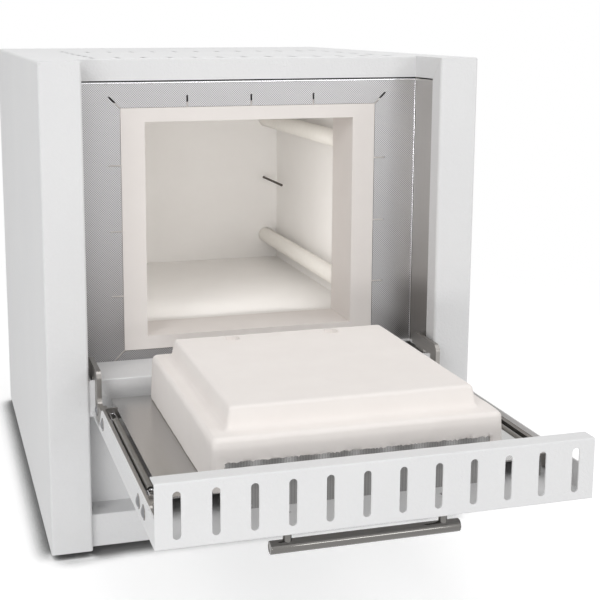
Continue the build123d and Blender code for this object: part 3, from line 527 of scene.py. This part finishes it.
def long_hook(x, start, end):
    """A long ring between two Y places."""
    reach = abs(end - start) - 2 * HOOK_RADIUS - HOOK_WIRE
    near = min(start, end) + HOOK_RADIUS + HOOK_WIRE / 2
    bpy.ops.object.select_all(action="DESELECT")
    bpy.ops.mesh.primitive_torus_add(major_radius=mm(HOOK_RADIUS), minor_radius=mm(HOOK_WIRE / 2),
                                     major_segments=20, minor_segments=8,
                                     location=on_casing(x, near, SPRING_Z))
    ring = bpy.context.object
    bpy.ops.object.mode_set(mode="EDIT")
    pick("VERT", lambda place: place.y > mm(0.1))
    bpy.ops.transform.translate(value=(0, mm(reach), 0))
    bpy.ops.object.mode_set(mode="OBJECT")
    return bake_place(ring)


hooks = []
for x in (-SPRING_X, SPRING_X):
    hooks += [long_hook(x, *INNER_HOOK), long_hook(x, *OUTER_HOOK)]
print("hook faces:", hand_over(join_all(hooks), "spring_hooks", nickel_and_hem_highlight, "door", "polished_bolts"))

# %% [markdown]
# ## Dome-headed bolts
# Each lever is held by polished dome-headed bolts, three of them through the door's side too. The
# head is a cap cut from a sphere by a bisect, which also closes it with a flat face. That face is
# inset and pulled in, which makes the shank. A dark washer under each head keeps it from
# vanishing against the white door.

# %% Turn one bolt and copy it
LEVER_FACE = 195.5
DOOR_SIDE = 197.0
BOLT_Z = 169.5
BOLT_SEATS = ((-25.0, LEVER_FACE), (-73.0, DOOR_SIDE), (-275.0, DOOR_SIDE), (-299.0, DOOR_SIDE))
HEAD_RADIUS = 5.6
HEAD_HEIGHT = 2.1
HEAD_RIM = 2.6
SHANK = 5
WASHER_RADIUS = 6.7
WASHER = 0.4
TOUCH = 0.01

bpy.ops.object.select_all(action="DESELECT")
sphere = (HEAD_RADIUS ** 2 + HEAD_HEIGHT ** 2) / (2 * HEAD_HEIGHT)
bpy.ops.mesh.primitive_uv_sphere_add(segments=32, ring_count=48, radius=mm(sphere),
                                     location=(mm(HEAD_HEIGHT - sphere), 0, 0), rotation=(0, math.pi / 2, 0))
bolt = bake_place(bpy.context.object)
bpy.ops.object.mode_set(mode="EDIT")
bpy.ops.mesh.select_all(action="SELECT")
bpy.ops.mesh.bisect(plane_co=(0, 0, 0), plane_no=(1, 0, 0), use_fill=True, clear_inner=True)
pick("FACE", lambda place: abs(place.x) < mm(TOUCH))
bpy.ops.mesh.inset(thickness=mm(HEAD_RIM))
bpy.ops.mesh.extrude_region_move(TRANSFORM_OT_translate={"value": (mm(-SHANK), 0, 0)})
bpy.ops.object.mode_set(mode="OBJECT")
bpy.ops.object.select_all(action="DESELECT")
bpy.ops.mesh.primitive_cylinder_add(vertices=32, radius=mm(WASHER_RADIUS), depth=mm(WASHER),
                                    rotation=(0, math.pi / 2, 0), location=(mm(WASHER / 2), 0, 0))
washer = bake_place(bpy.context.object)
bpy.ops.object.mode_set(mode="EDIT")
pick("EDGE", lambda place: place.x > mm(WASHER * 0.9) and Vector((place.y, place.z)).length > mm(6))
bpy.ops.mesh.bevel(offset=mm(0.15), segments=2, profile=0.5)
bpy.ops.object.mode_set(mode="OBJECT")
bolts = []
washers = []
for y, seat in BOLT_SEATS:
    for side, turn in ((1, 0.0), (-1, math.pi)):
        bolts.append(copy_to(bolt, on_casing(side * (seat + WASHER), y, BOLT_Z), turn))
        washers.append(copy_to(washer, on_casing(side * seat, y, BOLT_Z), turn))
bpy.data.objects.remove(bolt)
bpy.data.objects.remove(washer)
print("bolt faces:",
      hand_over(join_all(bolts), "domed_bolts", bolt_zinc, "door", "polished_bolts", "lever_bolts"))
print("washer faces:",
      hand_over(join_all(washers), "bolt_washers", spring_wire, "door", "polished_bolts"))

# %% [markdown]
# ## The handle
# A round bar, turned and polished, on two posts with a thin flange against the door. The bar's
# ends are broken by a small rounded edge and slightly dished. A post is a cylinder whose upper
# face is widened and pulled up once more, which makes the flange.

# %% Turn the bar
BAR_EDGE = 0.9
BAR_RIM = 1.5
BAR_DISH = 0.4

bar_low, bar_high = (Vector(corner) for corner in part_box("handle_bar"))
bar_middle = (bar_low + bar_high) / 2
bar_half = (bar_high.x - bar_low.x) / 2
bar_radius = (bar_high.z - bar_low.z) / 2
bpy.ops.object.select_all(action="DESELECT")
bpy.ops.mesh.primitive_cylinder_add(vertices=72, radius=bar_radius, depth=2 * bar_half, location=bar_middle,
                                    rotation=(0, math.pi / 2, 0))
bar = bake_place(bpy.context.object)
bpy.ops.object.mode_set(mode="EDIT")
pick("EDGE", lambda place: abs(place.x) > bar_half - mm(TOUCH)
     and (place - bar_middle).length > bar_half + mm(0.05))
bpy.ops.mesh.bevel(offset=mm(BAR_EDGE), segments=4, profile=0.5)
pick("FACE", lambda place: abs(place.x) > bar_half - mm(TOUCH))
bpy.ops.mesh.inset(thickness=mm(BAR_RIM))
bpy.ops.mesh.inset(thickness=mm(0.3), depth=mm(-BAR_DISH))
bpy.ops.object.mode_set(mode="OBJECT")
print("bar faces:",
      hand_over(bar, "turned_handle_bar", bar_brushed, "door", "plain_stainless", "handle_bar"))

# %% Turn the posts
# The drop is from the bar's middle to the door's sheet, and a post goes a little way into the bar.
DROP = 29.5
FLANGE = 2.0
FLANGE_SPREAD = 1.5
POST_RADIUS = 4.0
POST_X = 73.0
INTO_BAR = 1.5

post_height = mm(DROP - FLANGE) - bar_radius + mm(INTO_BAR)
bpy.ops.object.select_all(action="DESELECT")
bpy.ops.mesh.primitive_cylinder_add(vertices=40, radius=mm(POST_RADIUS), depth=post_height,
                                    location=(0, 0, -post_height / 2))
post = bake_place(bpy.context.object)
bpy.ops.object.mode_set(mode="EDIT")
pick("FACE", lambda place: place.z > mm(-TOUCH))
bpy.ops.mesh.extrude_region_move(TRANSFORM_OT_translate={"value": (0, 0, 0)})
bpy.ops.transform.resize(value=(FLANGE_SPREAD, FLANGE_SPREAD, 1))
bpy.ops.mesh.extrude_region_move(TRANSFORM_OT_translate={"value": (0, 0, mm(FLANGE))})
pick("EDGE", lambda place: abs(place.z) < mm(TOUCH) and place.length > mm(5.5))
bpy.ops.mesh.bevel(offset=mm(0.5), segments=3, profile=0.5)
bpy.ops.object.mode_set(mode="OBJECT")
flange_z = bar_middle.z + mm(DROP - FLANGE)
posts = [copy_to(post, Vector((x, bar_middle.y, flange_z))) for x in (-mm(POST_X), mm(POST_X))]
bpy.data.objects.remove(post)
print("post faces:", hand_over(join_all(posts), "turned_handle_posts", bar_brushed, "door",
                               "plain_stainless", "handle_posts"))

# %% [markdown]
# ## Pan-head screws at the back
# The rear cover is held by eight pan-head screws. The rim is rounded by a bevel, and a driver's
# recess goes in by an inset and an extrusion inwards.

# %% Pan heads
PAN_RADIUS = 4.5
PAN_HEIGHT = 2.6
SCREW_ROWS = 4

low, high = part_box("rear_screws")
bpy.ops.object.select_all(action="DESELECT")
bpy.ops.mesh.primitive_cylinder_add(vertices=24, radius=mm(PAN_RADIUS), depth=mm(PAN_HEIGHT),
                                    location=(0, mm(PAN_HEIGHT / 2), 0), rotation=(-math.pi / 2, 0, 0))
screw = bake_place(bpy.context.object)
bpy.ops.object.mode_set(mode="EDIT")
pick("EDGE", lambda place: place.y > mm(2.5) and Vector((place.x, 0, place.z)).length > mm(4))
bpy.ops.mesh.bevel(offset=mm(1.5), segments=4, profile=0.5)
pick("FACE", lambda place: place.y > mm(2.55))
bpy.ops.mesh.inset(thickness=mm(1.1))
bpy.ops.mesh.extrude_region_move(TRANSFORM_OT_translate={"value": (0, mm(-1.4), 0)})
bpy.ops.object.mode_set(mode="OBJECT")
screws = []
for row in range(SCREW_ROWS):
    z = low[2] + mm(PAN_RADIUS) + (high[2] - low[2] - mm(2 * PAN_RADIUS)) * row / (SCREW_ROWS - 1)
    for x in (low[0] + mm(PAN_RADIUS), high[0] - mm(PAN_RADIUS)):
        screws.append(copy_to(screw, Vector((x, low[1], z))))
bpy.data.objects.remove(screw)
print("screw faces:",
      hand_over(join_all(screws), "pan_head_screws", nickel_and_hem_highlight, "housing", "polished_bolts", "rear_screws"))

# %% [markdown]
# ## Rubber feet
# Moulded feet, a little narrower at the floor, with a soft lower edge. A cone with its tip cut
# off gives the taper, the lower rim is bevelled, and the screw's well is an inset pushed upwards.

# %% Mould a foot
FOOT_TOP = 15
FOOT_BOTTOM = 13
WELL_RIM = 4.5
WELL_DEPTH = 4

bpy.ops.object.select_all(action="DESELECT")
bpy.ops.mesh.primitive_cone_add(vertices=32, radius1=mm(FOOT_BOTTOM), radius2=mm(FOOT_TOP), depth=mm(FEET),
                                location=(0, 0, mm(FEET / 2)))
foot = bake_place(bpy.context.object)
bpy.ops.object.mode_set(mode="EDIT")
pick("EDGE", lambda place: place.z < mm(0.1) and place.length > mm(10))
bpy.ops.mesh.bevel(offset=mm(1.6), segments=4, profile=0.5)
pick("FACE", lambda place: place.z < mm(0.05))
bpy.ops.mesh.inset(thickness=mm(WELL_RIM))
bpy.ops.mesh.extrude_region_move(TRANSFORM_OT_translate={"value": (0, 0, mm(WELL_DEPTH))})
bpy.ops.object.mode_set(mode="OBJECT")
feet_low, feet_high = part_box("rubber_feet")
feet = []
for x in (feet_low[0] + mm(FOOT_TOP), feet_high[0] - mm(FOOT_TOP)):
    for y in (feet_low[1] + mm(FOOT_TOP), feet_high[1] - mm(FOOT_TOP)):
        feet.append(copy_to(foot, Vector((x, y, feet_low[2]))))
bpy.data.objects.remove(foot)
print("foot faces:",
      hand_over(join_all(feet), "moulded_feet", black_rubber_and_gap_shadow, "housing", "rubber", "rubber_feet"))

# %% [markdown]
# ## The door's fibre block
# The block is cast in one piece: a slab with sloping sides and a plug that enters the mouth. Such
# fibre has soft edges, a slightly uneven face and a ragged line where it was cut to sit on the
# steel. The solid's shape is right, so a copy of it is merged, remeshed at 1.8 mm, smoothed, and
# pushed about by fine noise. The cut line gets a coarser push, and the two dimples that the
# mould's pins leave in the plug are pressed in further.

# %% Soften the block
FELT = 1.8
LUMP_HEIGHT = 0.7
RAGGED = 1.3
DIMPLE_PLACE = (55, -52.5)
DIMPLE_RADIUS = 7.5
DIMPLE_DEPTH = 3.2

source = nodes["door_fibre_block"]
block = source.copy()
block.data = source.data.copy()
bpy.context.scene.collection.objects.link(block)
block.hide_render = False
block.hide_viewport = False
only(block)
bpy.ops.object.mode_set(mode="EDIT")
bpy.ops.mesh.select_all(action="SELECT")
bpy.ops.mesh.remove_doubles(threshold=0.00001)
bpy.ops.object.mode_set(mode="OBJECT")
even = block.modifiers.new("even", "REMESH")
even.mode = "VOXEL"
even.voxel_size = mm(FELT)
bpy.ops.object.modifier_apply(modifier=even.name)
soft = block.modifiers.new("soft", "SMOOTH")
soft.factor = 0.5
soft.iterations = 1
bpy.ops.object.modifier_apply(modifier=soft.name)
lumps = bpy.data.textures.new("felt_lumps", "CLOUDS")
lumps.noise_scale = 0.02
uneven = block.modifiers.new("uneven", "DISPLACE")
uneven.texture = lumps
uneven.strength = mm(LUMP_HEIGHT)
uneven.mid_level = 0.72
bpy.ops.object.modifier_apply(modifier=uneven.name)
bpy.ops.object.mode_set(mode="EDIT")
cut_low = on_casing(0, -400, 199)
cut_high = on_casing(126, -287, 204.5)
print("cut line:", pick("VERT", lambda place: cut_low.z < place.z < cut_high.z and place.y < cut_high.y
                        and abs(place.x) < cut_high.x))
bpy.ops.transform.vertex_random(offset=mm(RAGGED), seed=4)
plug_top = on_casing(0, 0, 245)
for side in (-1, 1):
    dimple = on_casing(side * DIMPLE_PLACE[0], DIMPLE_PLACE[1], 0)
    pick("VERT", lambda place: place.z > plug_top.z - mm(4)
         and (place - dimple).xy.length < mm(DIMPLE_RADIUS))
    bpy.ops.transform.translate(value=(0, 0, mm(-DIMPLE_DEPTH)))
bpy.ops.object.mode_set(mode="OBJECT")
print("block faces:",
      hand_over(block, "soft_fibre_block", door_fibre, "door", "door_fibre", "door_fibre_block"))

# %% [markdown]
# ## The plate's edges
# Under the header and at both sides the stainless plate ends in a narrow hem, folded over so that
# no sharp edge is left. The hem catches the light as a thin line, its bright colour partly a painted
# highlight, with the shaded gap of the joint above it. A long bar with its front edges bevelled
# round makes a hem, and another, black and set back, is the gap's painted shadow.

# %% Hem, and the joint's painted shadow
def long_strip(name, low, high, round_by, finish, slot_name):
    """A bar between two corners on the casing, its long front edges rounded."""
    centre = [(a + b) / 2 for a, b in zip(low, high)]
    size = [b - a for a, b in zip(low, high)]
    bpy.ops.object.select_all(action="DESELECT")
    bpy.ops.mesh.primitive_cube_add(size=1, location=on_casing(*centre))
    bar = bpy.context.object
    bar.scale = mm(*size)
    bake_place(bar)
    front = on_casing(*low).y
    axis = size.index(max(size))
    centre_along = on_casing(*centre)[axis]
    bpy.ops.object.mode_set(mode="EDIT")
    pick("EDGE", lambda place: abs(place.y - front) < mm(0.05)
         and abs(place[axis] - centre_along) < mm(size[axis] / 4))
    bpy.ops.mesh.bevel(offset=mm(round_by), segments=4, profile=0.5)
    bpy.ops.object.mode_set(mode="OBJECT")
    return hand_over(bar, name, finish, "housing", slot_name)


# The hems are folds of the stainless plate. Their rounded edges catch real light, and their bright plated
# colour, lighter than the plate's, adds a painted highlight along each fold.
HEM_END = 199.9
CORNER_HEM = 1.4
print("hem:", long_strip("front_plate_hem", (-HEM_END, 69.1, 505.4), (HEM_END, 70.3, 507.4), 0.55,
                         nickel_and_hem_highlight, "plain_stainless"))
for side, x in (("left", -HEM_END), ("right", HEM_END - CORNER_HEM)):
    long_strip(side + "_corner_hem", (x, 68.4, 194.0), (x + CORNER_HEM, 69.9, 505.3), 0.6,
               nickel_and_hem_highlight, "plain_stainless")
# The joint's strip is black as a painted shadow: it stands for the shade in the gap under the header.
print("joint:", long_strip("header_gap_painted_shadow", (-HEM_END, 70.2, 507.5), (HEM_END, 71.4, 508.9), 0.3,
                           black_rubber_and_gap_shadow, "rubber"))

# %% [markdown]
# ## Controller keys
# The controller has four soft keys under its window. Each is a block with its rim bevelled and
# its face inset and dished a little.

# %% Keys
KEY_SIZE = (13, 1.6, 9)
KEY_PITCH = 19
KEY_ROW_Z = 70
KEY_PROUD = 0.6

case_low, case_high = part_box("controller_case")
bpy.ops.object.select_all(action="DESELECT")
bpy.ops.mesh.primitive_cube_add(size=1)
key = bpy.context.object
key.scale = mm(*KEY_SIZE)
bake_place(key)
bpy.ops.object.mode_set(mode="EDIT")
pick("EDGE", lambda place: place.y < mm(-0.7) or (abs(place.x) > mm(6) and abs(place.z) > mm(4)))
bpy.ops.mesh.bevel(offset=mm(0.7), segments=3, profile=0.5)
pick("FACE", lambda place: place.y < mm(-0.79))
bpy.ops.mesh.inset(thickness=mm(1.2))
bpy.ops.transform.translate(value=(0, mm(0.25), 0))
bpy.ops.object.mode_set(mode="OBJECT")
keys = []
for step in (-1.5, -0.5, 0.5, 1.5):
    x = (case_low.x + case_high.x) / 2 + mm(KEY_PITCH) * step
    keys.append(copy_to(key, Vector((x, case_low.y - mm(KEY_PROUD), on_casing(0, 0, KEY_ROW_Z).z))))
bpy.data.objects.remove(key)
print("key faces:", hand_over(join_all(keys), "controller_keys", rocker_abs, "housing", "switch_rocker"))

# %% [markdown]
# ## Floor, surroundings and light
# A white floor and white surroundings, with soft light from large panels. The floor shows the
# shadow of the furnace and turns into plain white away from it. Close to the furnace its colour
# is darkened where little sky reaches it, which ambient occlusion measures: a painted contact
# shadow. Camera, mirror and glass rays all see the same white behind the furnace.

# %% The white floor
FLOOR_SIZE = 30
SHADOW_FADE = (0.75, 1.5)
CONTACT = 40.0
CONTACT_RANGE = (0.5, 0.88)
FLOOR_LIFT = 0.5
WHITE = (1, 1, 1, 1)

bpy.ops.object.select_all(action="DESELECT")
bpy.ops.mesh.primitive_plane_add(size=FLOOR_SIZE, location=(0, 0, 0))
floor = bpy.context.object
floor.name = "studio_floor"
floor_paint, tree, shader, place = new_finish("white_studio_floor", Roughness=0.9)
shader.inputs["Specular IOR Level"].default_value = 0.0
paths = add(tree, "ShaderNodeLightPath")
away = add(tree, "ShaderNodeVectorMath", {0: place}, operation="LENGTH").outputs["Value"]
camera_ray = paths.outputs["Is Camera Ray"]
far = add(tree, "ShaderNodeMapRange",
          {"Value": away, "From Min": SHADOW_FADE[0], "From Max": SHADOW_FADE[1]},
          interpolation_type="SMOOTHSTEP")
seen = add(tree, "ShaderNodeMath", {0: camera_ray, 1: far.outputs[0]}, operation="MULTIPLY").outputs[0]
mirror = add(tree, "ShaderNodeMath",
             {0: paths.outputs["Is Glossy Ray"], 1: paths.outputs["Is Transmission Ray"]},
             operation="MAXIMUM").outputs[0]
white_share = add(tree, "ShaderNodeMath", {0: seen, 1: mirror}, operation="MAXIMUM").outputs[0]
glow = add(tree, "ShaderNodeEmission", {"Color": WHITE, "Strength": 1.0}).outputs[0]
# Ambient occlusion darkens the floor's colour and takes away its white lift near the furnace: a painted
# contact shadow, seen by the camera only.
open_sky = add(tree, "ShaderNodeAmbientOcclusion", {"Distance": mm(CONTACT)}, samples=16).outputs["AO"]
open_share = add(tree, "ShaderNodeMapRange",
                 {"Value": open_sky, "From Min": CONTACT_RANGE[0], "From Max": CONTACT_RANGE[1]},
                 interpolation_type="SMOOTHSTEP").outputs[0]
lift_level = add(tree, "ShaderNodeMath", {0: open_share, 1: FLOOR_LIFT}, operation="MULTIPLY").outputs[0]
unseen = add(tree, "ShaderNodeMath", {0: 1.0, 1: camera_ray}, operation="SUBTRACT").outputs[0]
painted_contact_shadow = blend_colours(tree, open_share, "#8A8A8A", "#E6E6E6")
bounced = add(tree, "ShaderNodeMix",
              {"Factor": unseen, COLOUR_A: painted_contact_shadow, COLOUR_B: hex_colour("#FAFAFA")},
              data_type="RGBA").outputs[COLOUR_RESULT]
tree.links.new(bounced, shader.inputs["Base Color"])
lift = add(tree, "ShaderNodeEmission", {"Color": WHITE, "Strength": lift_level}).outputs[0]
lifted = add(tree, "ShaderNodeAddShader", {0: shader.outputs[0], 1: lift}).outputs[0]
near = add(tree, "ShaderNodeMixShader", {0: camera_ray, 1: shader.outputs[0], 2: lifted}).outputs[0]
both = add(tree, "ShaderNodeMixShader", {0: white_share, 1: near, 2: glow}).outputs[0]
output = [n for n in tree.nodes if n.bl_idname == "ShaderNodeOutputMaterial"][0]
tree.links.new(both, output.inputs["Surface"])
floor.data.materials.append(floor_paint)
print("floor laid")

# %% The white surroundings
WORLD_LEVEL = 0.44

world = bpy.data.worlds.new("studio_world")
bpy.context.scene.world = world
world.use_nodes = True
tree = world.node_tree
tree.nodes.clear()
paths = add(tree, "ShaderNodeLightPath")
straight = add(tree, "ShaderNodeMath",
               {0: paths.outputs["Is Camera Ray"], 1: paths.outputs["Is Glossy Ray"]},
               operation="MAXIMUM").outputs[0]
seen = add(tree, "ShaderNodeMath", {0: straight, 1: paths.outputs["Is Transmission Ray"]},
           operation="MAXIMUM").outputs[0]
dim = add(tree, "ShaderNodeBackground", {"Color": WHITE, "Strength": WORLD_LEVEL}).outputs[0]
white = add(tree, "ShaderNodeBackground", {"Color": WHITE, "Strength": 1.0}).outputs[0]
sky = add(tree, "ShaderNodeMixShader", {0: seen, 1: dim, 2: white}).outputs[0]
add(tree, "ShaderNodeOutputWorld", {"Surface": sky})
bpy.context.scene.view_settings.view_transform = "Standard"
print("world is white")


# %% Soft panels
def soft_panel(name, place, target, size, power, height=None):
    """An area lamp that faces its target; it is square unless it is given a height."""
    data = bpy.data.lights.new(name, "AREA")
    data.shape = "RECTANGLE"
    data.size = size
    data.size_y = height or size
    data.energy = power
    lamp = bpy.data.objects.new(name, data)
    lamp.location = place
    lamp.rotation_euler = (Vector(target) - Vector(place)).to_track_quat("-Z", "Y").to_euler()
    bpy.context.scene.collection.objects.link(lamp)
    return lamp


soft_panel("front_panel", (1.1, -3.4, 0.55), (0, 0, 0.3), 1.5, 8.5, 0.36)
soft_panel("door_panel", (-1.1, -1.3, 1.5), (0, -0.3, 0.2), 0.6, 4.2)
soft_panel("low_panel", (-1.2, -2.8, 0.13), (-0.1, 0, 0.13), 0.9, 11, 0.2)
soft_panel("left_panel", (-2.4, -3.1, 2.0), (0, 0, 0.3), 1.6, 21)
soft_panel("right_panel", (1.9, -1.3, 1.8), (0, 0, 0.3), 0.8, 10)
soft_panel("top_panel", (0.2, 0.0, 2.3), (0, 0, 0.3), 1.6, 13)

# %% [markdown]
# White fibre walls throw light back and forth many more times than a renderer follows it, so a
# deep white chamber comes out too dim. A very weak panel inside the mouth, facing in and hidden
# from the camera and from mirrors, gives that lost light back.

# %% Light lost between the chamber's walls
mouth_centre = on_casing(0, 142, 352)
mouth_light = soft_panel("mouth_light", mouth_centre, mouth_centre + Vector((0, 1, 0)), 0.22, 0.175)
mouth_light.visible_camera = False
mouth_light.visible_glossy = False
